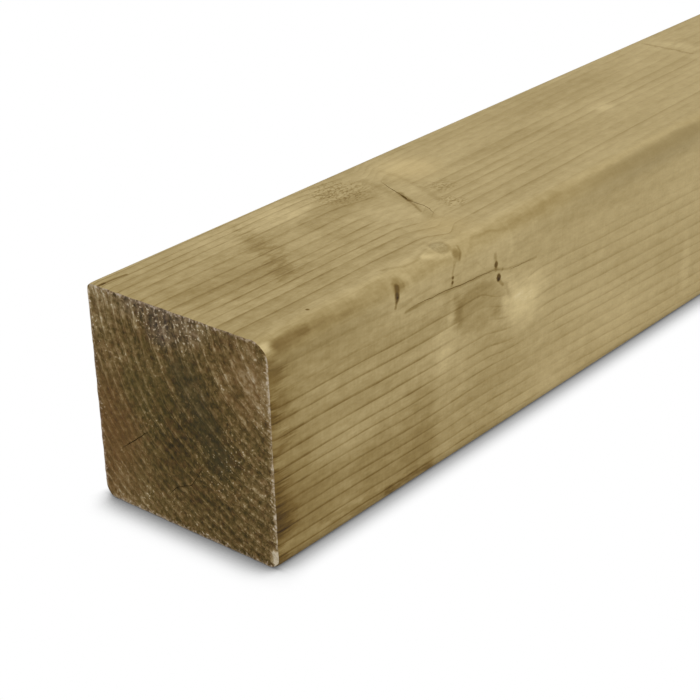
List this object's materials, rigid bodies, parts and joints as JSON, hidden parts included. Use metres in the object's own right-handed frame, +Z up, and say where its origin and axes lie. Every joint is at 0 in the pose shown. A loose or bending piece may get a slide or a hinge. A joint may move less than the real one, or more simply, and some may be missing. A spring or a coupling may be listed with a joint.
{
  "type": "timber stud",
  "caption": "Planed square stud of pressure-treated softwood with eased long edges and square-sawn ends, for timber framing and battening.",
  "frame": {"origin": "middle of the underside, on the floor the stud lies on", "axes": "+X along the length, from the sawn end that the picture shows towards the far end; -Y out of the front face, the long side that the picture shows; +Z up"},
  "size_m": [2.4, 0.045, 0.045],
  "materials": {
    "treated_softwood": "planed, pressure treated to a dull olive brown, matt, with darker sawn ends"
  },
  "bodies": {
    "root": {"stud": "treated_softwood"}
  },
  "joints": []
}
